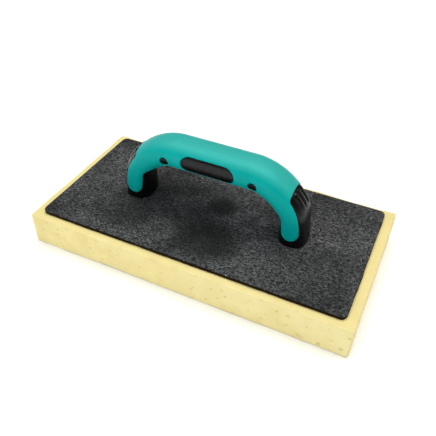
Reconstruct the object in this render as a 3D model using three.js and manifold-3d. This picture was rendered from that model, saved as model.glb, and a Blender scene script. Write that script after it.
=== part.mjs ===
// Sponge float with a two-component handle: a foam pad glued under a stiff moulded plate, and a
// hollow hard-plastic handle with a soft overmoulded grip, held by four countersunk screws.
// Millimetres. +X runs along the float, +Y across it and +Z up. The origin is the centre of the
// pad's working face, which is also the surface that the float stands on.

import * as THREE from 'three';
import { mergeVertices } from 'three/addons/utils/BufferGeometryUtils.js';
import Module from 'manifold-3d';

const wasm = await Module();
wasm.setup();

// ---- driving dimensions ----

const SPONGE = { length: 280, width: 140, height: 30, cornerRadius: 2 };
const PLATE = { length: 264, width: 128, thickness: 3, cornerRadius: 5 };
const GLUE = { thickness: 0.5, margin: 0.5 };
const PLATE_BOTTOM = SPONGE.height + GLUE.thickness;
const PLATE_TOP = PLATE_BOTTOM + PLATE.thickness;

// The handle is a rounded arch. Heights are above the plate's top.
const HANDLE = {
  width: 29.6,         // across the float
  height: 63.7,        // plate to the top of the bar
  clearance: 39.3,     // plate to the underside of the bar, where the fingers go
  footOuter: 83.3,     // half the length over the outsides of the feet
  footInner: 59.4,     // half the length between the feet
  roundAcross: 11.6,   // how far the section's rounding reaches in from each side
  roundThrough: 9.5,   // how far it reaches in from the top and the underside
};
// In side view each shoulder and each inner bend is one Bezier curve, from the top of the leg's
// straight stretch to the end of the bar's. low and high are its two handles.
const SHOULDER = {
  from: [81.3, 24], low: [79.8, 40.8], high: [58.3, HANDLE.height], to: [30.3, HANDLE.height],
};
const INNER_BEND = {
  from: [HANDLE.footInner, 17],
  low: [HANDLE.footInner, 28],
  high: [41.5, HANDLE.clearance],
  to: [37, HANDLE.clearance],
};
const FOOT_DROP = 20;  // the arch is drawn this far below the plate and then cut flat

const GRIP_THICKNESS = 2.5;
const CORE_SINK = 0.5;      // bare core stands this much lower than the soft grip round it
const GAP = 0.3;            // between neighbouring pieces
const CHANNEL_INSET = 7;    // arch surface to the hollow inside the core

// The soft grip ends in a round-tipped tongue on the front and back face of each leg. The tongue's
// outer edge swells out from the notch under the shoulder, and its inner edge runs up into the
// underside of the bar.
const TONGUE = { x: 70.6, tipZ: 6.2, radius: 7.6, innerTop: [61.6, 24], swell: [77, 32] };
const NOTCH = [67.4, 42.4];
const SHOULDER_EDGE = [68.8, 60];
const INNER_EDGE = { corner: [60.6, 30], end: [48, 34.5] };

const WINDOW_SHIFT = -1.1; // the windows' middle, along the float
const PILL = { halfLength: 22.9, radius: 8, z: 50.1, sink: 0.4 };
const DOT = { x: 38.2, z: 47.1, halfWidth: 3.6, halfHeight: 4.4, sink: 0.4 };
const RIB = { width: 3.6, pitch: 5.5, count: 3, lowZ: 36, highZ: 56, innerX: 60 };

const SCREW = {
  footX: 71.5, spacing: 14, length: 18, radius: 1.85, headRadius: 3.8, headHeight: 2,
  tipHeight: 3, tipRadius: 0.3, recessDepth: 1.4, recessWidth: 0.9, recessLength: 4,
};
const BOSS = { radius: 4.4, height: 19 };
const PILOT_SPARE = 1;  // pilot hole beyond the screw's tip
const OVERCUT = 4;      // how far a cutting solid runs past the face that it opens

// ---- solids ----

// A closed geometry as a manifold-3d solid.
function solid(geometry) {
  const bare = geometry.clone();
  bare.deleteAttribute('normal');
  bare.deleteAttribute('uv');
  const merged = mergeVertices(bare, 1e-4);
  return new wasm.Manifold(new wasm.Mesh({
    numProp: 3,
    vertProperties: new Float32Array(merged.attributes.position.array),
    triVerts: new Uint32Array(merged.index.array),
  }));
}

function joined(first, ...others) {
  return others.reduce((sum, other) => sum.add(other), first);
}

function geometryOf(manifold) {
  const mesh = manifold.getMesh();
  const geometry = new THREE.BufferGeometry();
  geometry.setAttribute('position', new THREE.BufferAttribute(mesh.vertProperties, 3));
  geometry.setIndex(new THREE.BufferAttribute(mesh.triVerts, 1));
  geometry.computeVertexNormals();
  return geometry;
}

// A box given by its limits along x, y and z.
function box(x0, x1, y0, y1, z0, z1) {
  const geometry = new THREE.BoxGeometry(x1 - x0, y1 - y0, z1 - z0);
  geometry.translate((x0 + x1) / 2, (y0 + y1) / 2, (z0 + z1) / 2);
  return solid(geometry);
}

// A round rod or cone standing at (x, y), from z0 up to z1.
function rod(x, y, z0, z1, lowRadius, highRadius = lowRadius, sides = 24) {
  const geometry = new THREE.CylinderGeometry(highRadius, lowRadius, z1 - z0, sides);
  geometry.rotateX(Math.PI / 2);
  geometry.translate(x, y, (z0 + z1) / 2);
  return solid(geometry);
}

// A flat slab with rounded corners, centred on the z axis.
function slab(length, width, cornerRadius, z0, z1) {
  const x = length / 2 - cornerRadius;
  const y = width / 2 - cornerRadius;
  const outline = new THREE.Shape();
  outline.absarc(x, y, cornerRadius, 0, Math.PI / 2);
  outline.absarc(-x, y, cornerRadius, Math.PI / 2, Math.PI);
  outline.absarc(-x, -y, cornerRadius, Math.PI, 1.5 * Math.PI);
  outline.absarc(x, -y, cornerRadius, 1.5 * Math.PI, 2 * Math.PI);
  const geometry = new THREE.ExtrudeGeometry(outline, {
    depth: z1 - z0, bevelEnabled: false, curveSegments: 6,
  });
  geometry.translate(0, 0, z0);
  return solid(geometry);
}

// An outline drawn in the handle's side view (x, height above the plate), as a solid that runs
// across the float from -halfWidth to halfWidth. options can round its edges.
function acrossTheFloat(outline, halfWidth, options = { bevelEnabled: false }) {
  const geometry = new THREE.ExtrudeGeometry(outline, {
    depth: 2 * halfWidth, curveSegments: 10, ...options,
  });
  geometry.translate(0, 0, -halfWidth);
  geometry.rotateX(Math.PI / 2);
  geometry.translate(0, 0, PLATE_TOP);
  return solid(geometry);
}

// ---- the handle's arch ----

function archOutline() {
  const { height, clearance, footOuter, footInner } = HANDLE;
  const outline = new THREE.Shape();
  const curve = (side, ...points) => {
    outline.bezierCurveTo(...points.flatMap(([x, z]) => [side * x, z]));
  };
  outline.moveTo(footInner, -FOOT_DROP);
  outline.lineTo(footOuter, -FOOT_DROP);
  outline.lineTo(footOuter, 0);
  outline.lineTo(...SHOULDER.from);
  curve(1, SHOULDER.low, SHOULDER.high, SHOULDER.to);
  outline.lineTo(-SHOULDER.to[0], height);
  curve(-1, SHOULDER.high, SHOULDER.low, SHOULDER.from);
  outline.lineTo(-footOuter, 0);
  outline.lineTo(-footOuter, -FOOT_DROP);
  outline.lineTo(-footInner, -FOOT_DROP);
  outline.lineTo(-footInner, INNER_BEND.from[1]);
  curve(-1, INNER_BEND.low, INNER_BEND.high, INNER_BEND.to);
  outline.lineTo(INNER_BEND.to[0], clearance);
  curve(1, INNER_BEND.high, INNER_BEND.low, INNER_BEND.from);
  outline.closePath();
  return outline;
}

// The arch with its surface moved inwards by inset.
function arch(inset) {
  const across = HANDLE.roundAcross - inset;
  const through = HANDLE.roundThrough - inset;
  const flat = HANDLE.width / 2 - HANDLE.roundAcross;
  return acrossTheFloat(archOutline(), flat, {
    bevelEnabled: true,
    bevelThickness: across,
    bevelSize: through,
    bevelOffset: -through - inset,
    bevelSegments: 4,
    curveSegments: 8,
  });
}

// Feet and bosses are drawn a little too low and end flat on the plate.
function cutAtPlate(manifold) {
  return manifold.intersect(box(-100, 100, -30, 30, PLATE_TOP, PLATE_TOP + 100));
}

// ---- where the soft grip covers the handle, in side view ----

function gripZone(grow) {
  const radius = TONGUE.radius + grow;
  const tipCentreZ = TONGUE.tipZ + TONGUE.radius;
  const far = { x: 130, z: 100 };
  const [cornerX, cornerZ] = INNER_EDGE.corner;
  const [endX, endZ] = INNER_EDGE.end;
  const zone = new THREE.Shape();
  zone.moveTo(far.x, far.z);
  zone.lineTo(-far.x, far.z);
  zone.lineTo(-SHOULDER_EDGE[0] - grow, SHOULDER_EDGE[1]);
  zone.lineTo(-NOTCH[0] - grow, NOTCH[1]);
  zone.quadraticCurveTo(-TONGUE.swell[0] - grow, TONGUE.swell[1], -TONGUE.x - radius, tipCentreZ);
  zone.absarc(-TONGUE.x, tipCentreZ, radius, Math.PI, 2 * Math.PI);
  zone.lineTo(-TONGUE.innerTop[0] + grow, TONGUE.innerTop[1]);
  zone.quadraticCurveTo(-cornerX + grow, cornerZ - grow, -endX, endZ - grow);
  zone.lineTo(endX, endZ - grow);
  zone.quadraticCurveTo(cornerX - grow, cornerZ - grow, TONGUE.innerTop[0] - grow,
    TONGUE.innerTop[1]);
  zone.lineTo(TONGUE.x - radius, tipCentreZ);
  zone.absarc(TONGUE.x, tipCentreZ, radius, Math.PI, 2 * Math.PI);
  zone.quadraticCurveTo(TONGUE.swell[0] + grow, TONGUE.swell[1], NOTCH[0] + grow, NOTCH[1]);
  zone.lineTo(SHOULDER_EDGE[0] + grow, SHOULDER_EDGE[1]);
  zone.closePath();
  return acrossTheFloat(zone, HANDLE.width);
}

// The long window and the two round ones through which the core shows, front and back.
function windows(grow) {
  const radius = PILL.radius + grow;
  const straight = PILL.halfLength - PILL.radius;
  const pill = new THREE.Shape();
  pill.absarc(WINDOW_SHIFT + straight, PILL.z, radius, -Math.PI / 2, Math.PI / 2);
  pill.absarc(WINDOW_SHIFT - straight, PILL.z, radius, Math.PI / 2, 1.5 * Math.PI);
  return {
    pill: acrossTheFloat(pill, HANDLE.width),
    dots: [-1, 1].map((side) => {
      const dot = new THREE.Shape();
      const x = WINDOW_SHIFT + side * DOT.x;
      dot.absellipse(x, DOT.z, DOT.halfWidth + grow, DOT.halfHeight + grow, 0, 2 * Math.PI);
      return acrossTheFloat(dot, HANDLE.width);
    }),
  };
}

// ---- the pieces ----

function spongePad() {
  return slab(SPONGE.length, SPONGE.width, SPONGE.cornerRadius, 0, SPONGE.height);
}

function adhesiveLayer() {
  return slab(
    PLATE.length - 2 * GLUE.margin,
    PLATE.width - 2 * GLUE.margin,
    PLATE.cornerRadius - GLUE.margin,
    SPONGE.height,
    PLATE_BOTTOM,
  );
}

const SCREW_PLACES = [-1, 1].flatMap((end) => [-1, 1].map((side) => ({
  x: end * SCREW.footX,
  y: side * SCREW.spacing / 2,
})));

// The plate has a clearance hole and a countersink under it for each screw.
function backPlate() {
  const { radius, headRadius, headHeight } = SCREW;
  const slope = (headRadius - radius) / headHeight;
  const low = PLATE_BOTTOM - OVERCUT;
  const high = PLATE_TOP + OVERCUT;
  return SCREW_PLACES.reduce((plate, { x, y }) => plate
    .subtract(rod(x, y, low, high, radius + GAP))
    .subtract(rod(x, y, low, PLATE_BOTTOM + headHeight,
      headRadius + GAP + OVERCUT * slope, radius + GAP)),
  slab(PLATE.length, PLATE.width, PLATE.cornerRadius, PLATE_BOTTOM, PLATE_TOP));
}

function ribs() {
  const bands = [];
  for (const end of [-1, 1]) {
    for (let i = 0; i < RIB.count; i += 1) {
      const y = (i - (RIB.count - 1) / 2) * RIB.pitch;
      const [x0, x1] = end < 0 ? [-100, -RIB.innerX] : [RIB.innerX, 100];
      bands.push(box(
        x0, x1, y - RIB.width / 2, y + RIB.width / 2, PLATE_TOP + RIB.lowZ, PLATE_TOP + RIB.highZ,
      ));
    }
  }
  return joined(...bands);
}

// The hard core: bare on the legs, with raised ribs on the outsides of the shoulders, and standing
// in the grip's windows. It is hollow, open at the feet, with two screw bosses in each foot.
function handleCore() {
  const bareZone = arch(CORE_SINK).add(arch(0).intersect(ribs())).subtract(gripZone(GAP));
  const { pill, dots } = windows(-GAP);
  const pads = joined(
    arch(PILL.sink).intersect(pill),
    ...dots.map((dot) => arch(DOT.sink).intersect(dot)),
  );
  const bosses = joined(...SCREW_PLACES.map(({ x, y }) => rod(
    x, y, PLATE_TOP - OVERCUT, PLATE_TOP + BOSS.height, BOSS.radius,
  )));
  const pilotHoles = joined(...SCREW_PLACES.map(({ x, y }) => rod(
    x, y, PLATE_TOP - 2 * OVERCUT, PLATE_BOTTOM + SCREW.length + PILOT_SPARE,
    SCREW.radius + GAP,
  )));
  const shell = joined(arch(GRIP_THICKNESS + GAP), bareZone, pads);
  return cutAtPlate(shell.subtract(arch(CHANNEL_INSET)).add(bosses).subtract(pilotHoles));
}

function softGrip() {
  const { pill, dots } = windows(0);
  const skin = arch(0).intersect(gripZone(0)).subtract(arch(GRIP_THICKNESS));
  return dots.reduce((rest, dot) => rest.subtract(dot), skin.subtract(pill));
}

// A countersunk self-tapping screw with a cross recess, driven up through the plate.
function handleScrew({ x, y }) {
  const low = PLATE_BOTTOM;
  const high = low + SCREW.length;
  const shank = rod(x, y, low, high - SCREW.tipHeight, SCREW.radius, SCREW.radius, 16);
  const tip = rod(x, y, high - SCREW.tipHeight, high, SCREW.radius, SCREW.tipRadius, 16);
  const head = rod(x, y, low, low + SCREW.headHeight, SCREW.headRadius, SCREW.radius, 16);
  const long = SCREW.recessLength / 2;
  const short = SCREW.recessWidth / 2;
  const deep = low + SCREW.recessDepth;
  return joined(shank, tip, head)
    .subtract(box(x - long, x + long, y - short, y + short, low - OVERCUT, deep))
    .subtract(box(x - short, x + short, y - long, y + long, low - OVERCUT, deep));
}

// ---- the float ----

const float = new THREE.Group();

function place(name, manifold, color, roughness, metalness = 0) {
  const material = new THREE.MeshStandardMaterial({ color, roughness, metalness });
  const mesh = new THREE.Mesh(geometryOf(manifold), material);
  mesh.name = name;
  float.add(mesh);
}

place('sponge_pad', spongePad(), 0xecdfa8, 0.95);
place('adhesive_layer', adhesiveLayer(), 0x6b4a26, 0.6);
place('back_plate', backPlate(), 0x303133, 0.7);
place('handle_core', handleCore(), 0x1a1819, 0.45);
place('soft_grip', softGrip(), 0x1fa79a, 0.6);
SCREW_PLACES.forEach((where, index) => {
  place(`handle_screw_${index + 1}`, handleScrew(where), 0xb9bcc0, 0.35, 1);
});

export default float;
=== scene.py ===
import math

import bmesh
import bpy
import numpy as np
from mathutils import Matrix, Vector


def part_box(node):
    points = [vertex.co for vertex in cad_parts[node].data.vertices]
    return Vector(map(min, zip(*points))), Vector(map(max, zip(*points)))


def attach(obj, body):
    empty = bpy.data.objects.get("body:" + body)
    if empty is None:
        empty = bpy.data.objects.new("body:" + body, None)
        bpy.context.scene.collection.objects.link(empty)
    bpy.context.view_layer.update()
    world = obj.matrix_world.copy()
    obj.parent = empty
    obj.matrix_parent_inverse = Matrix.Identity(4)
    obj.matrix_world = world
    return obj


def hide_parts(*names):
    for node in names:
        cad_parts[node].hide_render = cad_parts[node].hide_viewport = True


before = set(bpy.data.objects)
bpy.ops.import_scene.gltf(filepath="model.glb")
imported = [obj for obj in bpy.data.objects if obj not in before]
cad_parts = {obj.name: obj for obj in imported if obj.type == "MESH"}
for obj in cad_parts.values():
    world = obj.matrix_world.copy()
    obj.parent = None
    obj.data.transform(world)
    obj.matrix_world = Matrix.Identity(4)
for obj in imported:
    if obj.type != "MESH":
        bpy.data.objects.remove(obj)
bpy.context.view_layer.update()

# A sponge float: a foam pad, a film of brown contact adhesive, a black plastic plate, and a black
# handle core with a teal soft grip moulded over it. Lengths are in millimetres in the named values
# and in the mesh arithmetic, and become metres where a mesh is made. The camera and the lamps are
# placed in metres.

MM = 0.001

# ---- places and sizes, from the frame ----


def limits(node):
    """Lowest and highest corner of a CAD node, in millimetres."""
    low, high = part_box(node)
    return np.array(low) / MM, np.array(high) / MM


SPONGE_LOW, SPONGE_HIGH = limits("sponge_pad")
GLUE_LOW, GLUE_HIGH = limits("adhesive_layer")
PLATE_LOW, PLATE_HIGH = limits("back_plate")
CORE_HIGH = limits("handle_core")[1]
GRIP_HIGH = limits("soft_grip")[1]
PLATE_TOP = PLATE_HIGH[2]

# ---- the handle's driving dimensions; heights are above the plate's top ----

CORE_SINK = 0.5         # bare core stands this much lower than the grip beside it
GRIP_THICKNESS = 2.5
CORE_BASE = 2.6         # the core under the grip, below the grip's surface
CHANNEL_INSET = 7.0     # grip's surface to the hollow inside the core
HALF_WIDTH = GRIP_HIGH[1]
BAR_TOP = GRIP_HIGH[2] - PLATE_TOP
BAR_UNDERSIDE = 39.3
FOOT_OUTER = CORE_HIGH[0] + CORE_SINK
FOOT_INNER = 59.4
FOOT_OVERRUN = 2.0      # the core is drawn this far below the plate's top, then cut there
SHOULDER = [(81.3, 24.0), (79.8, 40.8), (58.3, BAR_TOP), (30.3, BAR_TOP)]
INNER_BEND = [(FOOT_INNER, 17.0), (FOOT_INNER, 28.0), (41.5, BAR_UNDERSIDE), (37.0, BAR_UNDERSIDE)]
# The section is a superellipse: 2 is a plain ellipse, and more is squarer.
LEG_POWER = 2.8
BAR_POWER = 2.5
POWER_BLEND = (18.0, 46.0)  # heights between which one becomes the other

TONGUE_X = 70.6
TONGUE_RADIUS = 7.6
TONGUE_TIP = 6.2
TONGUE_INNER_TOP = (61.6, 24.0)
TONGUE_SWELL = (77.0, 32.0)
NOTCH = (67.4, 42.4)
NOTCH_ROUNDING = 2.0
SHOULDER_EDGE = (68.8, 60.0)
GRIP_INNER_CORNER = (60.6, 30.0)
GRIP_INNER_END = (48.0, 34.5)
WINDOW_SHIFT = -1.1     # the windows' middle, along the float
PILL_HALF_LENGTH = 22.9
PILL_RADIUS = 8.5       # round the bar as well as along it
PILL_HEIGHT = 49.75
PILL_SINK = 0.25
DOT_X = 38.2
DOT_HEIGHT = 46.6
DOT_RADIUS = 3.7        # along the bar
DOT_TALLNESS = 1.2      # a dot's height for its width, measured round the bar
DOT_SINK = 0.25
LIP = 0.8               # rounding of the grip's edge
BARE_LIP = 0.35         # rounding of the core's edge beside it
GAP = 0.12              # groove between the two
WINDOW_GROOVE = 0.2     # extra groove round the core's pads in the windows
CORE_OVERLAP = 0.8      # the bare parts reach this far into the core's base
LIP_STEPS = 4
SURFACE_GRID = 0.65     # spacing of the handle's sections
CHANNEL_GRID = 2.0      # the same, for the hollow inside it

RIB_COUNT = 3
RIB_PITCH = 5.5
RIB_WIDTH = 4.3
RIB_HEIGHT = 1.1
RIB_END = 34.0          # height of the ribs' rounded lower ends
RIB_CLEARANCE = (1.0, 2.2)  # the ribs sink away over this distance from the grip's edge

BOSS_X = 71.5
BOSS_SPACING = 14.0
BOSS_RADIUS = 4.4
BOSS_HEIGHT = 19.0
SCREW_RADIUS = 1.85
SCREW_LENGTH = 18.0
THREAD_PITCH = 1.6
HEAD_RADIUS = 3.8
HEAD_HEIGHT = 2.0
SCREW_CLEARANCE = 0.15  # the plate's holes are this much larger in radius than the screws
THREAD_HEIGHT = 0.42
THREAD_CREST = 0.28     # half width of a thread's ridge, as a share of the pitch
THREAD_START = 1.5      # the thread rises over this length below the head
POINT_LENGTH = 4.0
TIP_RADIUS = 0.08       # of the screws' points
RECESS = (2.0, 0.45, 1.4)  # half length, half width and depth of the screws' cross recess
CUT_PAST = 1.0          # cutting solids run this far past what they cut
SCREW_PLACES = [(x, y) for x in (-BOSS_X, BOSS_X) for y in (-BOSS_SPACING / 2, BOSS_SPACING / 2)]

# ---- the plate, the glue and the foam ----

PLATE_CORNER = 5.0
PLATE_ROUNDING = 0.6
# Round spots where the plate's pale fibres are fainter, or stronger: centre, radius, half width
# of the edge, and how much of the fibres' paleness is left there.
FLECK_SPOTS = [
    ((3.0, 8.0), 12.0, 5.0, 0.2),
    ((9.0, -36.0), 24.0, 11.0, 0.25),
    ((-40.0, 20.0), 20.0, 14.0, 0.75),
    ((95.0, -38.0), 36.0, 14.0, 0.72),
    ((98.0, 27.0), 18.0, 12.0, 0.85),
    ((32.0, 0.0), 15.0, 6.0, 1.9),
]
SCUFF_CENTRE = (98.0, 4.0)
SCUFF_REACH = (18.0, 1.1)  # along x and along y

GLUE_WANDER = 0.55      # how far the glue's edge strays either way
GLUE_INSET = 0.2        # its top edge lies this far inside the plate's edge, and as far as it strays
GLUE_SPACING = 1.5
GLUE_WAVES = range(9, 120, 3)  # waves round the glue's edge

FOAM_GRID = 0.9
FOAM_EDGE = 1.2         # rounding of the cut foam's edges
FOAM_RIM = 11.0         # the foam's top is modelled this far in; the plate hides the rest
FLAT_MARGIN = 1.0       # the foam's top is held down under the plate, and this far past it
FOAM_WAVES = [(60.0, 0.25), (22.0, 0.12), (7.0, 0.08)]  # lengths and heights of its waves
WAVES_SUMMED = 14       # sine waves added up for each length
PORE_DEPTH = 0.4        # depth of a pore for its radius
PORE_RADII = [1.0, 1.25, 1.6, 2.1]
PORE_SHARES = [0.5, 0.3, 0.15, 0.05]  # how often each radius comes
# How many pores each face of the foam has: axis, side, count.
PORE_COUNTS = [(1, -1, 60), (1, 1, 60), (0, -1, 30), (0, 1, 30), (2, -1, 260), (2, 1, 60)]

# ---- the studio ----

CAMERA_PLACE = (0.1476, -0.3129, 0.3231)
CAMERA_TURN = (49.294, -0.833, 25.519)  # in degrees, about x, y and z
CAMERA_LENS = 43.65
CAMERA_SENSOR = 36.0
FLOOR_HALF = 6000.0
FLOOR_CORNER = 400.0
FLOOR_SPACING = 800.0
FLOOR_THICKNESS = 20.0
FLOOR_DROP = 0.02       # the floor's face lies this far under the foam's

# ---- mesh helpers ----


def mesh_object(name, points, faces, smooth=True):
    """A mesh object from points in millimetres."""
    mesh = bpy.data.meshes.new(name)
    mesh.from_pydata((np.asarray(points, float) * MM).tolist(), [], faces)
    mesh.polygons.foreach_set("use_smooth", [smooth] * len(mesh.polygons))
    piece = bpy.data.objects.new(name, mesh)
    bpy.context.scene.collection.objects.link(piece)
    face_outwards(piece)
    return piece


def face_outwards(piece):
    """Makes a closed mesh's faces all look outwards."""
    work = bmesh.new()
    work.from_mesh(piece.data)
    bmesh.ops.recalc_face_normals(work, faces=work.faces)
    work.to_mesh(piece.data)
    work.free()


def combine(piece, operation, *others):
    """Applies booleans to a piece, and removes the other pieces."""
    for other in others:
        change = piece.modifiers.new("combine", "BOOLEAN")
        change.operation = operation
        change.object = other
        change.solver = "MANIFOLD"
        bpy.context.view_layer.update()
        applied = piece.evaluated_get(bpy.context.evaluated_depsgraph_get())
        mesh = bpy.data.meshes.new_from_object(applied)
        piece.modifiers.clear()
        piece.data = mesh
        bpy.data.objects.remove(other)
    return piece


def even_angles(count):
    """Angles evenly spaced round a full turn."""
    return np.linspace(0, 2 * math.pi, count, endpoint=False)


def lathe(name, profile, x, y, around=32):
    """A closed solid turned about a vertical axis, from (radius, height) points, bottom to top."""
    angle = even_angles(around)
    rings = [ring_points(angle, r, z) + (x, y, 0) for r, z in profile]
    return mesh_object(name, np.vstack(rings), stacked_faces(len(rings), around), smooth=False)


def ring_points(angle, radius, height):
    """Points round the vertical axis; the radius may be a number for each angle."""
    return np.stack([radius * np.cos(angle), radius * np.sin(angle), 0 * angle + height], 1)


def stacked_faces(rows, around):
    """Faces of closed rings stacked in order, with a cap on the first and the last."""
    faces = [[row * around + n, row * around + (n + 1) % around,
              (row + 1) * around + (n + 1) % around, (row + 1) * around + n]
             for row in range(rows - 1) for n in range(around)]
    faces.append(list(reversed(range(around))))
    faces.append([(rows - 1) * around + n for n in range(around)])
    return faces


def point_values(piece, name, values):
    """Stores one number for each vertex, for a material to read."""
    attribute = piece.data.attributes.new(name, "FLOAT", "POINT")
    attribute.data.foreach_set("value", np.asarray(values, np.float32))


def smoothstep(low, high, value):
    """0 at low and 1 at high, eased at both ends; low may be the larger of the two."""
    t = np.clip((value - low) / (high - low), 0, 1)
    return t * t * (3 - 2 * t)


def unit(vectors):
    """Each row scaled to length 1."""
    return vectors / np.maximum(np.linalg.norm(vectors, axis=1, keepdims=True), 1e-9)


def raised(points):
    """Points measured from the plate's top, moved into the frame."""
    return points + np.array([0, 0, PLATE_TOP])


def line(start, end, count=30):
    """Points evenly spaced on a straight line."""
    return np.linspace(np.array(start, float), np.array(end, float), count)


def bezier(points, count=60):
    """Points on a cubic curve, from its two ends and the two controls between them."""
    t = np.linspace(0, 1, count)[:, None]
    a, b, c, d = np.array(points, float)
    return (1 - t) ** 3 * a + 3 * (1 - t) ** 2 * t * b + 3 * (1 - t) * t ** 2 * c + t ** 3 * d


def quadratic(start, control, end, count=24):
    """Points on a curve from start to end, pulled towards one control."""
    t = np.linspace(0, 1, count)[:, None]
    a, b, c = (np.array(p, float) for p in (start, control, end))
    return (1 - t) ** 2 * a + 2 * (1 - t) * t * b + t ** 2 * c


def chained(*runs):
    """Runs of points joined end to end, each shared point kept once."""
    return np.vstack([runs[0]] + [run[1:] for run in runs[1:]])


# ---- the handle's surface, as a grid of sections ----


def arch_sections(spacing):
    """Outer and inner side-view points of evenly spaced sections, from one foot to the other."""
    outer = chained(line((FOOT_OUTER, -FOOT_OVERRUN), (FOOT_OUTER, 0), 5),
                    line((FOOT_OUTER, 0), SHOULDER[0]), bezier(SHOULDER),
                    line(SHOULDER[3], (0, BAR_TOP)))
    inner = chained(line((FOOT_INNER, -FOOT_OVERRUN), (FOOT_INNER, 0), 5),
                    line((FOOT_INNER, 0), INNER_BEND[0]), bezier(INNER_BEND),
                    line(INNER_BEND[3], (0, BAR_UNDERSIDE)))
    mirror = np.array([-1, 1])
    outer = np.vstack([outer, outer[-2::-1] * mirror])
    inner = np.vstack([inner, inner[-2::-1] * mirror])
    steps = np.linalg.norm(np.diff((outer + inner) / 2, axis=0), axis=1)
    along = np.concatenate([[0], np.cumsum(steps)])
    even = np.linspace(0, along[-1], int(round(along[-1] / spacing)) + 1)
    return [np.stack([np.interp(even, along, run[:, k]) for k in (0, 1)], 1)
            for run in (outer, inner)]


class ArchGrid:
    """The handle's outer surface: points[i, j] at section i and angle j, with outward normals."""

    def __init__(self, spacing, angle):
        outer, inner = arch_sections(spacing)
        centre, reach = (outer + inner) / 2, (outer - inner) / 2
        squareness = smoothstep(*POWER_BLEND, centre[:, 1:])
        power = 2 / (LEG_POWER + (BAR_POWER - LEG_POWER) * squareness)
        cos = np.sign(np.cos(angle)) * np.abs(np.cos(angle)) ** power
        sin = np.sign(np.sin(angle)) * np.abs(np.sin(angle)) ** power
        x = centre[:, :1] + reach[:, :1] * cos
        z = centre[:, 1:] + reach[:, 1:] * cos
        y = HALF_WIDTH * sin
        self.points = np.stack([x, y, z], 2)
        self.outward = cos
        self.along = np.gradient(self.points, axis=0)
        self.round = (np.roll(self.points, -1, 1) - np.roll(self.points, 1, 1)) / 2
        normals = np.cross(self.round, self.along)
        normals /= np.linalg.norm(normals, axis=2, keepdims=True)
        middle = np.stack([centre[:, 0], 0 * centre[:, 0], centre[:, 1]], 1)[:, None, :]
        side = np.sign(((self.points - middle) * normals).sum(2).mean())
        self.normals = normals * side

    def gradient(self, field):
        """The field's gradient along the surface, in units for each millimetre."""
        d_along = np.gradient(field, axis=0)
        d_round = (np.roll(field, -1, 1) - np.roll(field, 1, 1)) / 2
        e = (self.along ** 2).sum(2)
        f = (self.along * self.round).sum(2)
        g = (self.round ** 2).sum(2)
        area = np.maximum(e * g - f * f, 1e-9)
        p = (g * d_along - f * d_round) / area
        q = (e * d_round - f * d_along) / area
        return p[..., None] * self.along + q[..., None] * self.round


def outer_face_angles(fine, coarse, turn):
    """Angles closer together within a turn either side of the handle's outer face."""
    near = np.linspace(-turn, turn, fine, endpoint=False)
    rest = np.linspace(turn, 2 * math.pi - turn, coarse, endpoint=False)
    return np.concatenate([near, rest])


def signed_distance(x, z, outline):
    """Distance from side-view points to a closed outline, positive inside it."""
    nearest = np.full(x.shape, 1e9)
    inside = np.zeros(x.shape, bool)
    for (ax, az), (bx, bz) in zip(outline, np.roll(outline, -1, 0)):
        ex, ez = bx - ax, bz - az
        t = np.clip(((x - ax) * ex + (z - az) * ez) / (ex * ex + ez * ez), 0, 1)
        nearest = np.minimum(nearest, np.hypot(x - ax - t * ex, z - az - t * ez))
        if ez:
            crosses = (az > z) != (bz > z)
            inside ^= crosses & (x < ax + (z - az) / ez * ex)
    return np.where(inside, nearest, -nearest)


def grip_outline():
    """Side-view outline of what the soft grip covers on the +X half, run on past x = 0."""
    far_x, far_z = -60.0, 100.0
    tip_z = TONGUE_TIP + TONGUE_RADIUS
    outer_x = TONGUE_X + TONGUE_RADIUS
    swell = quadratic(NOTCH, TONGUE_SWELL, (outer_x, tip_z))
    swell = swell[np.linalg.norm(swell - np.array(NOTCH), axis=1) > NOTCH_ROUNDING]
    up = np.array(SHOULDER_EDGE) - np.array(NOTCH)
    before_notch = np.array(NOTCH) + up * NOTCH_ROUNDING / np.linalg.norm(up)
    sweep = np.linspace(0, -math.pi, 30)
    tip = np.stack([TONGUE_X + TONGUE_RADIUS * np.cos(sweep),
                    tip_z + TONGUE_RADIUS * np.sin(sweep)], 1)
    inner = quadratic(TONGUE_INNER_TOP, GRIP_INNER_CORNER, GRIP_INNER_END)
    return np.vstack([
        [(far_x, far_z), (SHOULDER_EDGE[0], far_z), SHOULDER_EDGE],
        quadratic(before_notch, NOTCH, swell[0], 10), swell[1:], tip[1:], inner,
        [(far_x, GRIP_INNER_END[1])],
    ])


class GripField:
    """How far each grid point is inside the soft grip's edge, along the surface, in mm.

    groove makes the windows this much smaller all round, for the core's pads that stand in them.
    in_pill and in_dot mark the points inside each window or within 1 mm of it.
    """

    def __init__(self, grid, groove=0.0):
        x, y, z = np.moveaxis(grid.points, 2, 0)
        cover = signed_distance(np.abs(x), z, grip_outline())
        x, y = np.abs(x - WINDOW_SHIFT), np.abs(y)
        off_pill = np.hypot(y - HALF_WIDTH, z - PILL_HEIGHT)
        off_dot = np.hypot(y - HALF_WIDTH, z - DOT_HEIGHT)
        straight = PILL_HALF_LENGTH - PILL_RADIUS
        pill = np.hypot(np.maximum(x - straight, 0), off_pill) - PILL_RADIUS
        dot = np.hypot(x - DOT_X, off_dot / DOT_TALLNESS) - DOT_RADIUS
        flat = np.minimum(np.minimum(cover, pill + groove), dot + groove)
        gradient = grid.gradient(flat)
        slope = np.linalg.norm(gradient, axis=2)
        self.inside = flat / np.clip(slope, 0.25, None)
        self.outwards = -gradient / np.maximum(slope, 1e-6)[..., None]
        for end in (0, -1):
            self.outwards[end] = 0  # no lip sticks out past the feet's ends
        self.in_pill = pill < 1
        self.in_dot = dot < 1


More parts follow.
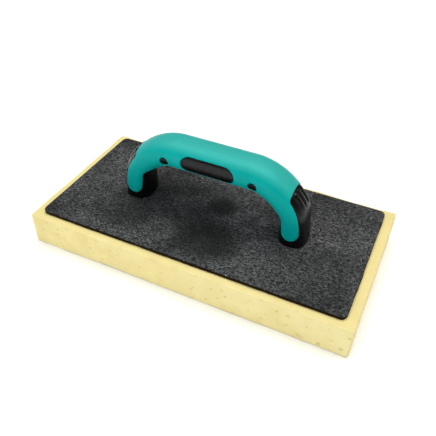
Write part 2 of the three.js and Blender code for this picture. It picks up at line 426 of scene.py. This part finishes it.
class Cut:
    """The part of a grid where a field is above a level, or below it, cut exactly at the level."""

    def __init__(self, field, level, above=True):
        sections, around = field.shape
        value = (field - level).ravel() * (1 if above else -1)
        keep = value > 0
        ids = np.arange(sections * around).reshape(sections, around)
        cells = np.stack([ids[:-1], np.roll(ids, -1, 1)[:-1], np.roll(ids, -1, 1)[1:], ids[1:]], 2)
        cells = cells.reshape(-1, 4)
        count = keep[cells].sum(1)
        kept = np.nonzero(keep)[0]
        order = -np.ones(sections * around, int)
        order[kept] = np.arange(len(kept))
        self.first, self.second, self.share = kept.tolist(), kept.tolist(), [0.0] * len(kept)
        self.crossings = {}
        self.edges = []
        self.faces = order[cells[count == 4]].tolist()
        for cell in cells[(count > 0) & (count < 4)]:
            loop, cut_here = [], []
            for k in range(4):
                p, q = int(cell[k]), int(cell[(k + 1) % 4])
                if keep[p]:
                    loop.append(int(order[p]))
                    cut_here.append(False)
                if keep[p] != keep[q]:
                    loop.append(self.crossing(min(p, q), max(p, q), value))
                    cut_here.append(True)
            self.faces.append(loop)
            for k, here in enumerate(cut_here):
                after = (k + 1) % len(loop)
                if here and cut_here[after]:
                    self.edges.append((loop[k], loop[after]))
        for end in (ids[0], ids[-1]):
            for p, q in zip(end, np.roll(end, -1)):
                if keep[p] and keep[q]:
                    self.edges.append((int(order[p]), int(order[q])))
        self.first, self.second = np.array(self.first), np.array(self.second)
        self.share = np.array(self.share)

    def crossing(self, p, q, value):
        """The cut's own point between grid points p and q, made once for each pair."""
        if (p, q) not in self.crossings:
            self.crossings[(p, q)] = len(self.first)
            self.first.append(p)
            self.second.append(q)
            self.share.append(float(value[p] / (value[p] - value[q])))
        return self.crossings[(p, q)]

    def sample(self, values):
        """Grid values at the cut's own points."""
        flat = values.reshape(values.shape[0] * values.shape[1], -1)
        share = self.share[:, None]
        return flat[self.first] * (1 - share) + flat[self.second] * share


def shell(name, grid, cut, height, outwards, lip, depth):
    """A closed skin over the cut region: a top, a rounded lip, a wall and a bottom.

    The top stands height above the grid's surface, and the bottom lies depth below it.
    """
    base = cut.sample(grid.points)
    normal = unit(cut.sample(grid.normals))
    side = cut.sample(outwards)
    side = unit(side - (side * normal).sum(1, keepdims=True) * normal)
    up = cut.sample(height)
    border = sorted({point for edge in cut.edges for point in edge})
    place = {point: n for n, point in enumerate(border)}
    turns = np.linspace(0, math.pi / 2, LIP_STEPS + 1)[1:]
    rows = [base[border] + normal[border] * (up[border] - lip * (1 - math.cos(turn)))
            + side[border] * lip * math.sin(turn) for turn in turns]
    rows.append(base[border] - normal[border] * depth + side[border] * lip)
    points = np.vstack([base + normal * up, base - normal * depth] + rows)
    count, width = len(base), len(border)
    faces = list(cut.faces)
    faces += [[count + point for point in reversed(face)] for face in cut.faces]
    starts = [2 * count + width * row for row in range(len(rows))]
    for a, b in cut.edges:
        across = [(a, b)]
        across += [(start + place[a], start + place[b]) for start in starts]
        across.append((count + a, count + b))
        faces += [[near[0], near[1], far[1], far[0]] for near, far in zip(across, across[1:])]
    return mesh_object(name, raised(points), faces)


# ---- the pieces ----


def soft_grip():
    """The moulded-over grip, with a rounded lip at each edge and windows for the core."""
    grid = ArchGrid(SURFACE_GRID, even_angles(count=132))
    field = GripField(grid)
    height = np.zeros(grid.outward.shape)
    grip = shell("grip_over_mould", grid, Cut(field.inside, LIP), height, field.outwards,
                 LIP, GRIP_THICKNESS)
    # painted highlight: how much each point faces up, for the grip's paler top
    upward = np.array([vertex.normal.z for vertex in grip.data.vertices])
    point_values(grip, "upward", smoothstep(0.35, 1.0, upward))
    return grip


def core_height(grid, field):
    """How far the bare core stands above the grip's own surface, with the ribs on its shoulders."""
    y, z = grid.points[..., 1], grid.points[..., 2]
    nearest = np.clip(np.round(y / RIB_PITCH), -(RIB_COUNT // 2), RIB_COUNT // 2) * RIB_PITCH
    half = RIB_WIDTH / 2
    off_line = np.hypot(y - nearest, np.maximum(RIB_END + half - z, 0)) / half
    ribs = RIB_HEIGHT * np.clip(1 - off_line ** 2, 0, 1) ** 0.7
    ribs = ribs * smoothstep(*RIB_CLEARANCE, -field.inside) * (grid.outward > 0)
    height = -CORE_SINK + ribs
    height = np.where(field.in_pill, -PILL_SINK, height)
    return np.where(field.in_dot, -DOT_SINK, height)


def channel():
    """The hollow inside the core, open at both feet, less the screw bosses, plus their holes."""
    grid = ArchGrid(CHANNEL_GRID, even_angles(count=40))
    points = grid.points - grid.normals * CHANNEL_INSET
    sections, around = points.shape[:2]
    hollow = mesh_object("hollow", raised(points.reshape(-1, 3)), stacked_faces(sections, around))
    low, high = PLATE_TOP - FOOT_OVERRUN - CUT_PAST, PLATE_TOP + BOSS_HEIGHT
    bosses = [lathe("boss", [(BOSS_RADIUS, low), (BOSS_RADIUS, high)], x, y)
              for x, y in SCREW_PLACES]
    combine(hollow, "DIFFERENCE", *bosses)
    top = PLATE_LOW[2] + SCREW_LENGTH + CUT_PAST
    pilots = [lathe("pilot", [(SCREW_RADIUS, low), (SCREW_RADIUS, top)], x, y)
              for x, y in SCREW_PLACES]
    return combine(hollow, "UNION", *pilots)


def handle_core():
    """The hard core: a smooth base under the grip, with the bare parts standing on it.

    What reaches below the plate's top is cut away last.
    """
    grid = ArchGrid(SURFACE_GRID, outer_face_angles(fine=90, coarse=72, turn=0.9))
    field = GripField(grid, WINDOW_GROOVE)
    sections, around = grid.outward.shape
    base = grid.points - grid.normals * CORE_BASE
    core = mesh_object("handle_frame", raised(base.reshape(-1, 3)), stacked_faces(sections, around))
    bare = Cut(field.inside, -GAP - BARE_LIP, above=False)
    pads = shell("bare_parts", grid, bare, core_height(grid, field), -field.outwards,
                 BARE_LIP, CORE_BASE + CORE_OVERLAP)
    combine(core, "UNION", pads)
    combine(core, "DIFFERENCE", channel())
    radius, depth = 2 * CORE_HIGH[0], 2 * FOOT_OVERRUN
    below = lathe("below", [(radius, PLATE_TOP - depth), (radius, PLATE_TOP)], 0, 0)
    return combine(core, "DIFFERENCE", below)


def rounded_outline(half_x, half_y, radius, spacing=3.0):
    """A rounded rectangle's points, anticlockwise."""
    arc = np.linspace(0, math.pi / 2, 9)
    corners = [(1, 1, 0), (-1, 1, 1), (-1, -1, 2), (1, -1, 3)]
    points = []
    for sx, sy, quarter in corners:
        turn = arc + quarter * math.pi / 2
        x = sx * (half_x - radius) + radius * np.cos(turn)
        y = sy * (half_y - radius) + radius * np.sin(turn)
        points.append(np.stack([x, y], 1))
    loop = np.vstack(points)
    dense = []
    for start, end in zip(loop, np.roll(loop, -1, 0)):
        pieces = max(1, int(round(np.linalg.norm(end - start) / spacing)))
        dense += [start + (end - start) * k / pieces for k in range(pieces)]
    return np.array(dense)


def layered_prism(name, layers, smooth=False):
    """A closed solid from outlines of equal length, each with its height, bottom to top."""
    rings = [np.column_stack([outline, np.full(len(outline), z)]) for outline, z in layers]
    return mesh_object(name, np.vstack(rings), stacked_faces(len(rings), len(layers[0][0])), smooth)


def flat_faces_flat(piece):
    """Takes smooth shading off the faces that look straight up or down."""
    for face in piece.data.polygons:
        if abs(face.normal.z) > 0.999:
            face.use_smooth = False


def back_plate():
    """The moulded plate, its edges slightly rounded, with the four countersunk screw holes."""
    half_x, half_y = PLATE_HIGH[0], PLATE_HIGH[1]
    bottom, top = PLATE_LOW[2], PLATE_TOP
    layers = []
    for z, way in ((bottom, -1), (top, 1)):
        for turn in np.linspace(0, math.pi / 2, 5)[::way]:
            inset = PLATE_ROUNDING * (1 - math.cos(turn))
            outline = rounded_outline(half_x - inset, half_y - inset, PLATE_CORNER - inset)
            layers.append((outline, z - way * PLATE_ROUNDING * (1 - math.sin(turn))))
    plate = layered_prism("plate_panel", layers, smooth=True)
    hole = SCREW_RADIUS + SCREW_CLEARANCE
    profile = [(HEAD_RADIUS + CUT_PAST, bottom - CUT_PAST), (HEAD_RADIUS, bottom),
               (hole, bottom + HEAD_HEIGHT), (hole, top + CUT_PAST)]
    combine(plate, "DIFFERENCE", *[lathe("hole", profile, x, y) for x, y in SCREW_PLACES])
    flat_faces_flat(plate)
    return plate


def adhesive_film(rng):
    """The film of glue, squeezed out a little past the plate in places."""
    outline = rounded_outline(PLATE_HIGH[0], PLATE_HIGH[1], PLATE_CORNER, GLUE_SPACING)
    round_trip = np.linspace(0, 2 * math.pi, len(outline), endpoint=False)
    wander = sum(rng.uniform(-1, 1) / k ** 0.7 * np.cos(k * round_trip + rng.uniform(0, 2 * math.pi))
                 for k in GLUE_WAVES)
    wander *= GLUE_WANDER / np.abs(wander).max()
    outwards = unit(outline)
    squeezed = outline + outwards * wander[:, None]
    inner = outline - outwards * (GLUE_WANDER + GLUE_INSET)
    return layered_prism("glue_film", [(squeezed, GLUE_LOW[2]), (inner, GLUE_HIGH[2])])


def foam_lattice(size):
    """Points and faces of a block cut into small squares, its hidden middle left as one face."""
    cells = [int(round(length / FOAM_GRID)) for length in size]
    rim = int(round(FOAM_RIM / FOAM_GRID))
    inner_x, inner_y = cells[0] - rim, cells[1] - rim
    order = {}

    def corner(*place):
        """The number of the lattice point at a place, made when first asked for."""
        return order.setdefault(place, len(order))

    faces = []
    for axis in range(3):
        u, v = (axis + 1) % 3, (axis + 2) % 3
        for level in (0, cells[axis]):
            for a in range(cells[u]):
                for b in range(cells[v]):
                    if axis == 2 and level and rim <= a < inner_x and rim <= b < inner_y:
                        continue
                    quad = []
                    for step_a, step_b in ((0, 0), (1, 0), (1, 1), (0, 1)):
                        place = [0, 0, 0]
                        place[axis], place[u], place[v] = level, a + step_a, b + step_b
                        quad.append(corner(*place))
                    faces.append(quad)
    ring = [(i, rim) for i in range(rim, inner_x)]
    ring += [(inner_x, j) for j in range(rim, inner_y)]
    ring += [(i, inner_y) for i in range(inner_x, rim, -1)]
    ring += [(rim, j) for j in range(inner_y, rim, -1)]
    faces.append([corner(i, j, cells[2]) for i, j in ring])
    return (np.array(list(order)) / cells - 0.5) * size, faces


def foam_block(rng):
    """The foam pad, with rounded edges, soft waves and scattered pores."""
    size = SPONGE_HIGH - SPONGE_LOW
    centre = (SPONGE_HIGH + SPONGE_LOW) / 2
    points, faces = foam_lattice(size)
    half = size / 2 - FOAM_EDGE
    core = np.clip(points, -half, half)
    normal = unit(points - core)
    shaped = core + normal * FOAM_EDGE
    move = np.zeros(len(points))
    for scale, amount in FOAM_WAVES:
        move += amount * soft_waves(shaped, scale, rng)
    pores = np.zeros(len(points))
    for place, radius in foam_pores(size, rng):
        near = np.abs(shaped - place).max(1) < radius * 1.5
        distance = np.linalg.norm(shaped[near] - place, axis=1)
        pores[near] = np.maximum(pores[near], smoothstep(radius, radius * 0.35, distance))
        hollow = smoothstep(radius * 1.05, 0.1 * radius, distance)
        move[near] -= PORE_DEPTH * radius * hollow
    near_plate = (np.abs(shaped[:, :2]) < PLATE_HIGH[:2] + FLAT_MARGIN).all(1)
    held = near_plate & (normal[:, 2] > 0.5)
    rests = normal[:, 2] < -0.5
    move = np.where(held | rests, np.minimum(move, 0), move)
    foam = mesh_object("foam_block", shaped + normal * move[:, None] + centre, faces)
    # painted shade: a share for each point of darker colour inside the pores
    point_values(foam, "pore", pores)
    # painted shade: how much each point faces up, for the material's duller rim
    point_values(foam, "rim", smoothstep(0.55, 1.0, normal[:, 2]))
    return foam


def soft_waves(points, scale, rng):
    """Smooth random bumps of about unit height, with waves about scale mm long."""
    total = np.zeros(len(points))
    for _ in range(WAVES_SUMMED):
        way = rng.normal(size=3)
        way /= np.linalg.norm(way)
        stretch = scale * rng.uniform(0.7, 1.4)
        total += np.sin(points @ way * 2 * math.pi / stretch + rng.uniform(0, 2 * math.pi))
    return total / math.sqrt(WAVES_SUMMED)


def foam_pores(size, rng):
    """Centres and radii of the open pores on the foam's sides, rim and underside."""
    half = size / 2
    for axis, side, count in PORE_COUNTS:
        for _ in range(count):
            place = rng.uniform(-half, half)
            place[axis] = side * half[axis]
            yield place, rng.choice(PORE_RADII, p=PORE_SHARES)


def thread_screw(x, y, number):
    """A countersunk wood screw with a rolled thread and a cross recess, head down."""
    around, rows = 24, 90
    bottom = PLATE_LOW[2]
    root = SCREW_RADIUS - THREAD_HEIGHT - TIP_RADIUS
    heights = np.linspace(HEAD_HEIGHT, SCREW_LENGTH, rows)
    angle = even_angles(around)
    # a small bevel round the head's face, then its cone
    head = [(HEAD_RADIUS - 0.15, 0.0), (HEAD_RADIUS, 0.12), (SCREW_RADIUS - 0.35, HEAD_HEIGHT - 0.1)]
    points = [ring_points(angle, r, z) for r, z in head]
    for z in heights:
        turn = (z / THREAD_PITCH - angle / (2 * math.pi)) % 1
        crest = np.clip(1 - np.abs(turn - 0.5) / THREAD_CREST, 0, 1)
        taper = smoothstep(SCREW_LENGTH + 0.2, SCREW_LENGTH - POINT_LENGTH, z)
        start = smoothstep(HEAD_HEIGHT, HEAD_HEIGHT + THREAD_START, z)
        r = root * taper + TIP_RADIUS + THREAD_HEIGHT * crest * start * taper
        points.append(ring_points(angle, r, z))
    screw = mesh_object(f"screw_{number}", np.vstack(points) + (x, y, bottom),
                        stacked_faces(len(points), around), smooth=False)
    wide, narrow, depth = RECESS
    for half_x, half_y in ((wide, narrow), (narrow, wide)):
        ring = np.array([(-half_x, -half_y), (half_x, -half_y), (half_x, half_y), (-half_x, half_y)])
        slot = layered_prism("slot", [(ring + (x, y), bottom - CUT_PAST),
                                      (ring * 0.7 + (x, y), bottom + depth)])
        combine(screw, "DIFFERENCE", slot)
    return screw


# ---- materials ----


def srgb(red, green, blue):
    """A colour given as 0 to 255 screen values, as the linear values a shader takes."""
    values = [v / 255 for v in (red, green, blue)]
    return [v / 12.92 if v <= 0.04045 else ((v + 0.055) / 1.055) ** 2.4 for v in values] + [1.0]


class Material:
    """A Principled material with helpers that add nodes."""

    def __init__(self, name, **settings):
        self.material = bpy.data.materials.new(name)
        self.material.use_nodes = True
        self.tree = self.material.node_tree
        self.shader = self.tree.nodes["Principled BSDF"]
        for socket, value in settings.items():
            self.shader.inputs[socket.replace("_", " ")].default_value = value
        self.place = self.tree.nodes.new("ShaderNodeTexCoord").outputs["Object"]

    def node(self, kind, inputs=None, **settings):
        """A new node; each input is either another node's output or a value."""
        made = self.tree.nodes.new(kind)
        for name, value in settings.items():
            setattr(made, name, value)
        for name, value in (inputs or {}).items():
            if isinstance(value, bpy.types.NodeSocket):
                self.tree.links.new(value, made.inputs[name])
            else:
                made.inputs[name].default_value = value
        return made

    def stretched(self, scale):
        """Object coordinates, multiplied by a scale for each axis."""
        return self.node("ShaderNodeMapping", {"Vector": self.place, "Scale": scale}).outputs[0]

    def noise(self, scale, detail=4.0, roughness=0.5, place=None, distortion=0.0):
        """Soft noise, 0 to 1."""
        return self.node("ShaderNodeTexNoise", {
            "Vector": place or self.place, "Scale": scale, "Detail": detail,
            "Roughness": roughness, "Distortion": distortion}).outputs["Fac"]

    def cells(self, scale):
        """Distance from the nearest of many scattered points."""
        return self.node("ShaderNodeTexVoronoi", {
            "Vector": self.place, "Scale": scale}).outputs["Distance"]

    def span(self, value, low, high, out_low=0.0, out_high=1.0):
        """Value moved from the range low to high into the other range, and kept in it."""
        return self.node("ShaderNodeMapRange", {
            "Value": value, "From Min": low, "From Max": high,
            "To Min": out_low, "To Max": out_high}, interpolation_type="SMOOTHSTEP").outputs[0]

    def math(self, operation, first, second):
        """One sum on two numbers."""
        return self.node("ShaderNodeMath", {0: first, 1: second}, operation=operation).outputs[0]

    def axes(self):
        """The object coordinates, one by one."""
        return self.node("ShaderNodeSeparateXYZ", {"Vector": self.place}).outputs[:3]

    def length(self, x, y):
        """Length of the vector (x, y)."""
        vector = self.node("ShaderNodeCombineXYZ", {"X": x, "Y": y}).outputs[0]
        return self.node("ShaderNodeVectorMath", {0: vector}, operation="LENGTH").outputs["Value"]

    def mix(self, share, first, second):
        """The first colour, with a share of the second in it."""
        made = self.node("ShaderNodeMix", data_type="RGBA")
        for name, value in (("Factor", share), ("A", first), ("B", second)):
            socket = [s for s in made.inputs if s.name == name and s.enabled][0]
            if isinstance(value, bpy.types.NodeSocket):
                self.tree.links.new(value, socket)
            else:
                socket.default_value = value
        return [s for s in made.outputs if s.enabled][0]

    def bump(self, height, distance, strength, under=None):
        """A bumped normal; under is a coarser one that this one lies on."""
        inputs = {"Height": height, "Distance": distance, "Strength": strength}
        if under:
            inputs["Normal"] = under
        return self.node("ShaderNodeBump", inputs).outputs[0]

    def set(self, socket, value):
        """Feeds a node's output to the shader."""
        self.tree.links.new(value, self.shader.inputs[socket])

    def away(self, centre, reach=(1.0, 1.0)):
        """Distance from an upright line, as a share of its reach along x and along y."""
        offsets = [self.math("DIVIDE", self.math("SUBTRACT", axis, middle * MM), far * MM)
                   for axis, middle, far in zip(self.axes(), centre, reach)]
        return self.length(*offsets)

    def attribute(self, name):
        """A number stored on the mesh, for each vertex."""
        return self.node("ShaderNodeAttribute", attribute_name=name).outputs["Fac"]


def foam_material():
    """Open-cell foam: cream, with fine cells and soft mottling; painted shade dulls its
    upward-facing rim and darkens its pores.
    """
    m = Material("cream_foam", Roughness=0.95, Specular_IOR_Level=0.2)
    mottle = m.noise(55, 5, 0.6)
    colour = m.mix(m.span(mottle, 0.35, 0.68), srgb(252, 231, 164), srgb(245, 220, 150))
    broad = m.noise(11, 2, 0.5)
    colour = m.mix(m.span(broad, 0.4, 0.7, 0, 0.5), colour, srgb(253, 236, 176))
    # painted shade: small darker yellow dots standing in for tiny pores
    specks = m.span(m.cells(430), 0.20, 0.08)
    small_pore_shade = m.math("MULTIPLY", specks, m.span(m.noise(130, 2), 0.56, 0.66))
    colour = m.mix(m.math("MULTIPLY", small_pore_shade, 0.4), colour, srgb(205, 178, 96))
    # painted shade: a duller cream on the upward-facing rim
    rim = m.math("MULTIPLY", m.attribute("rim"), m.span(mottle, 0.3, 0.7, 0.8, 1.0))
    colour = m.mix(rim, colour, srgb(228, 211, 145))
    # painted shade: darker yellow-brown in the modelled pores
    pore = m.attribute("pore")
    colour = m.mix(m.math("MULTIPLY", pore, 0.45), colour, srgb(214, 182, 84))
    m.set("Base Color", colour)
    cells = m.span(m.cells(900), 0.0, 0.6)
    lumps = m.bump(m.noise(180, 4, 0.6), 0.0006, 0.6)
    m.set("Normal", m.bump(cells, 0.0002, 0.7, lumps))
    return m.material


def plate_material():
    """Rough black sheet: short pale fibres, fainter or stronger in broad patches and round spots,
    and a scuff; painted shade darkens its sides to dark brown.
    """
    m = Material("rough_black_plastic", Roughness=0.85, Specular_IOR_Level=0.12)
    along = m.stretched((1.0, 1.8, 1.0))
    fibre = m.noise(470, 3, 0.6, along, 0.8)
    grit = m.noise(900, 2, 0.6)
    broad_tone = m.noise(18, 4, 0.6, distortion=0.5)
    # how strongly the pale fibres show: broad noise, then the round spots
    fleck_strength = m.span(broad_tone, 0.32, 0.66, 0.3, 1.05)
    for centre, radius, fade, left in FLECK_SPOTS:
        spot = m.span(m.away(centre), radius - fade, radius + fade, left, 1.0)
        fleck_strength = m.math("MULTIPLY", fleck_strength, spot)
    pale = m.math("MULTIPLY", m.span(fibre, 0.36, 0.68), fleck_strength)
    colour = m.mix(pale, srgb(26, 27, 27), srgb(114, 114, 115))
    dark_grit = m.math("MULTIPLY", m.span(grit, 0.35, 0.6, 1.0, 0.0), 0.5)
    colour = m.mix(dark_grit, colour, srgb(12, 12, 12))
    specks = m.span(m.cells(160), 0.10, 0.05)
    flecks = m.math("MULTIPLY", specks, m.span(m.noise(70, 2), 0.58, 0.62))
    colour = m.mix(m.math("MULTIPLY", flecks, 0.7), colour, srgb(190, 190, 190))
    scuff = m.span(m.away(SCUFF_CENTRE, SCUFF_REACH), 1.0, 0.2, 0.0, 0.45)
    colour = m.mix(m.math("MULTIPLY", scuff, m.span(fibre, 0.3, 0.6)), colour, srgb(150, 150, 150))
    # painted shade: the plate's sides, below its top, go dark brown
    side = m.span(m.axes()[2], (PLATE_TOP - 0.9) * MM, (PLATE_TOP - 0.2) * MM, 1.0, 0.0)
    colour = m.mix(side, colour, srgb(30, 22, 8))
    m.set("Base Color", colour)
    m.set("Normal", m.bump(m.math("ADD", fibre, m.math("MULTIPLY", grit, 0.5)), 0.0004, 0.6))
    return m.material


def core_material():
    """Moulded black plastic with a fine spark-eroded grain."""
    m = Material("moulded_black_plastic", Specular_IOR_Level=0.34)
    colour = m.mix(m.noise(60, 3), srgb(5, 4, 5), srgb(12, 10, 11))
    m.set("Base Color", colour)
    m.set("Roughness", m.span(m.noise(240, 3), 0.35, 0.65, 0.26, 0.36))
    m.set("Normal", m.bump(m.noise(1500, 2, 0.6), 0.00005, 0.4))
    return m.material


def grip_material():
    """Teal thermoplastic rubber with a satin, finely stippled skin, and a painted highlight: paler
    teal on its upward faces.
    """
    m = Material("teal_soft_rubber", Specular_IOR_Level=0.42,
                 Specular_Tint=(0.2, 1.0, 0.95, 1.0))
    colour = m.mix(m.span(m.noise(48, 3), 0.35, 0.65), srgb(0, 165, 156), srgb(0, 172, 163))
    patches = m.span(m.noise(90, 2), 0.3, 0.7, 0.85, 1.0)
    # painted highlight: a paler teal on the upward faces, in soft patches
    painted_top_highlight = m.math("MULTIPLY", m.attribute("upward"), patches)
    colour = m.mix(painted_top_highlight, colour, srgb(57, 171, 162))
    m.set("Base Color", colour)
    m.set("Roughness", m.span(m.noise(200, 3), 0.3, 0.7, 0.38, 0.44))
    stipple = m.bump(m.noise(1700, 2, 0.6), 0.00006, 0.5)
    m.set("Normal", m.bump(m.noise(70, 2), 0.0004, 0.15, stipple))
    return m.material


def glue_material():
    """Dried brown contact adhesive, its brown darkened with painted shade from the plate's edge
    above it.
    """
    m = Material("brown_adhesive")
    # partly painted shade: the glue's brown, darkened as if under the plate's edge
    colour = m.mix(m.noise(300, 3), srgb(48, 32, 8), srgb(92, 66, 22))
    m.set("Base Color", colour)
    m.set("Roughness", m.span(m.noise(500, 2), 0.3, 0.7, 0.35, 0.6))
    m.set("Normal", m.bump(m.noise(400, 3), 0.0003, 0.6))
    return m.material


def screw_material():
    """Zinc-plated steel, brushed round by the thread rolling."""
    m = Material("zinc_steel", Metallic=1.0)
    colour = m.mix(m.noise(900, 3), srgb(178, 180, 182), srgb(206, 206, 204))
    m.set("Base Color", colour)
    m.set("Roughness", m.span(m.noise(700, 3, 0.6, m.stretched((1, 1, 5))), 0.3, 0.7, 0.24, 0.42))
    m.set("Normal", m.bump(m.noise(900, 2, 0.5, m.stretched((1, 1, 6))), 0.00003, 0.4))
    return m.material


def floor_material():
    """Almost white, matt."""
    m = Material("pale_floor", Roughness=0.9, Specular_IOR_Level=0.1)
    m.set("Base Color", m.mix(m.noise(3, 2), srgb(252, 252, 252), srgb(254, 254, 254)))
    return m.material


# ---- putting it together ----


def fit(piece, body, slot, material, *nodes):
    """Gives a piece its finish, hangs it on its body, and hides the CAD nodes it stands for."""
    piece.data.materials.clear()
    piece.data.materials.append(material)
    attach(piece, body)
    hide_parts(*nodes)


def floor():
    """A wide flat floor, just under the foam's underside."""
    ring = rounded_outline(FLOOR_HALF, FLOOR_HALF, FLOOR_CORNER, FLOOR_SPACING)
    made = layered_prism("floor", [(ring, -FLOOR_THICKNESS), (ring, -FLOOR_DROP)])
    made.data.materials.append(floor_material())


def light(name, place, target, energy, size, colour, glossy=True):
    """A rectangular lamp at a place, turned to a target, both in metres."""
    data = bpy.data.lights.new(name, "AREA")
    data.energy = energy
    data.color = colour
    data.shape = "RECTANGLE"
    data.size, data.size_y = size
    lamp = bpy.data.objects.new(name, data)
    bpy.context.scene.collection.objects.link(lamp)
    lamp.location = place
    lamp.rotation_euler = (Vector(target) - Vector(place)).to_track_quat("-Z", "Y").to_euler()
    lamp.visible_glossy = glossy


def sun(name, towards_it, strength, angle, colour, glossy=True):
    """A sun lamp; its angle, in degrees, is how wide it looks from the float."""
    data = bpy.data.lights.new(name, "SUN")
    data.energy = strength
    data.angle = math.radians(angle)
    data.color = colour
    lamp = bpy.data.objects.new(name, data)
    bpy.context.scene.collection.objects.link(lamp)
    lamp.rotation_euler = Vector(towards_it).to_track_quat("Z", "Y").to_euler()
    lamp.visible_glossy = glossy


def lights():
    """Soft studio light, even all over the floor, and a white backdrop that lights nothing."""
    world = bpy.data.worlds.new("studio")
    bpy.context.scene.world = world
    world.use_nodes = True
    backdrop = world.node_tree.nodes["Background"]
    backdrop.inputs["Color"].default_value = (1, 1, 1, 1)
    backdrop.inputs["Strength"].default_value = 1.0
    world.cycles_visibility.diffuse = False
    world.cycles_visibility.glossy = False
    sun("overhead", towards_it=(0.0, 0.12, 1.0), strength=2.95, angle=60,
        colour=(1.0, 0.985, 0.955))
    sun("sky", towards_it=(0.0, 0.0, 1.0), strength=0.42, angle=180,
        colour=(0.85, 0.94, 1.0), glossy=False)
    light("front_fill", place=(-0.4, -1.2, 0.65), target=(0, 0, 0.03), energy=8.0,
          size=(1.5, 0.9), colour=(0.74, 0.89, 1.0), glossy=False)
    light("right_rim", place=(0.95, 0.35, 0.55), target=(0.05, 0, 0.06), energy=1.2,
          size=(0.25, 0.6), colour=(1.0, 1.0, 1.0))


def camera():
    """The camera, in front of the float and above its +X end, turned down to its middle."""
    data = bpy.data.cameras.new("camera")
    data.lens = CAMERA_LENS
    data.sensor_width = CAMERA_SENSOR
    made = bpy.data.objects.new("camera", data)
    bpy.context.scene.collection.objects.link(made)
    made.location = CAMERA_PLACE
    made.rotation_euler = [math.radians(angle) for angle in CAMERA_TURN]
    bpy.context.scene.camera = made


def build():
    """Makes every piece. The foam and the glue share one seeded random source, in this order."""
    rng = np.random.default_rng(seed=7)
    foam = foam_block(rng)
    fit(foam, "root", "sponge", foam_material(), "sponge_pad")
    fit(adhesive_film(rng), "root", "adhesive", glue_material(), "adhesive_layer")
    fit(back_plate(), "root", "plate_plastic", plate_material(), "back_plate")
    fit(handle_core(), "root", "core_plastic", core_material(), "handle_core")
    fit(soft_grip(), "root", "grip_rubber", grip_material(), "soft_grip")
    steel = screw_material()
    for number, (x, y) in enumerate(SCREW_PLACES, 1):
        fit(thread_screw(x, y, number), "root", "screw_steel", steel, f"handle_screw_{number}")


camera()
lights()
floor()
build()
bpy.context.scene.view_settings.view_transform = "Standard"
